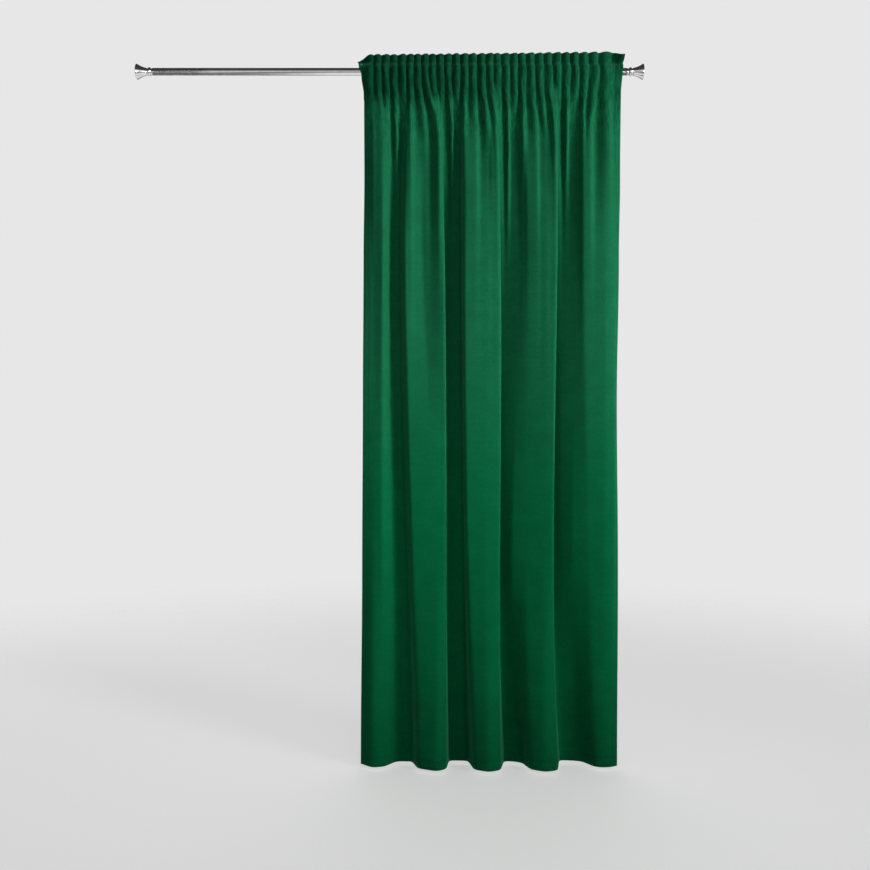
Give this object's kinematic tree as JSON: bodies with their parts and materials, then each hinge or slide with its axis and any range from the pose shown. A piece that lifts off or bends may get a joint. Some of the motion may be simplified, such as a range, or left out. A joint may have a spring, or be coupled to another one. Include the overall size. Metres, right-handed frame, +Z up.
{
  "type": "velvet drape on curtain rod",
  "caption": "Full-length velvet drape with a standing frill, gathered by its rod pocket on a round chrome rod with flared finials.",
  "frame": {"origin": "on the rod's axis, halfway along its tube", "axes": "+X along the rod to the right as seen from the room, +Y towards the wall, +Z up; the drape's face looks towards -Y"},
  "size_m": [1.922, 0.1322, 2.708],
  "materials": {
    "velvet": "matte",
    "chrome": "polished"
  },
  "bodies": {
    "root": {"velvet_panel": "velvet", "rod_tube": "chrome", "finial_left": "chrome", "finial_right": "chrome"}
  },
  "joints": []
}
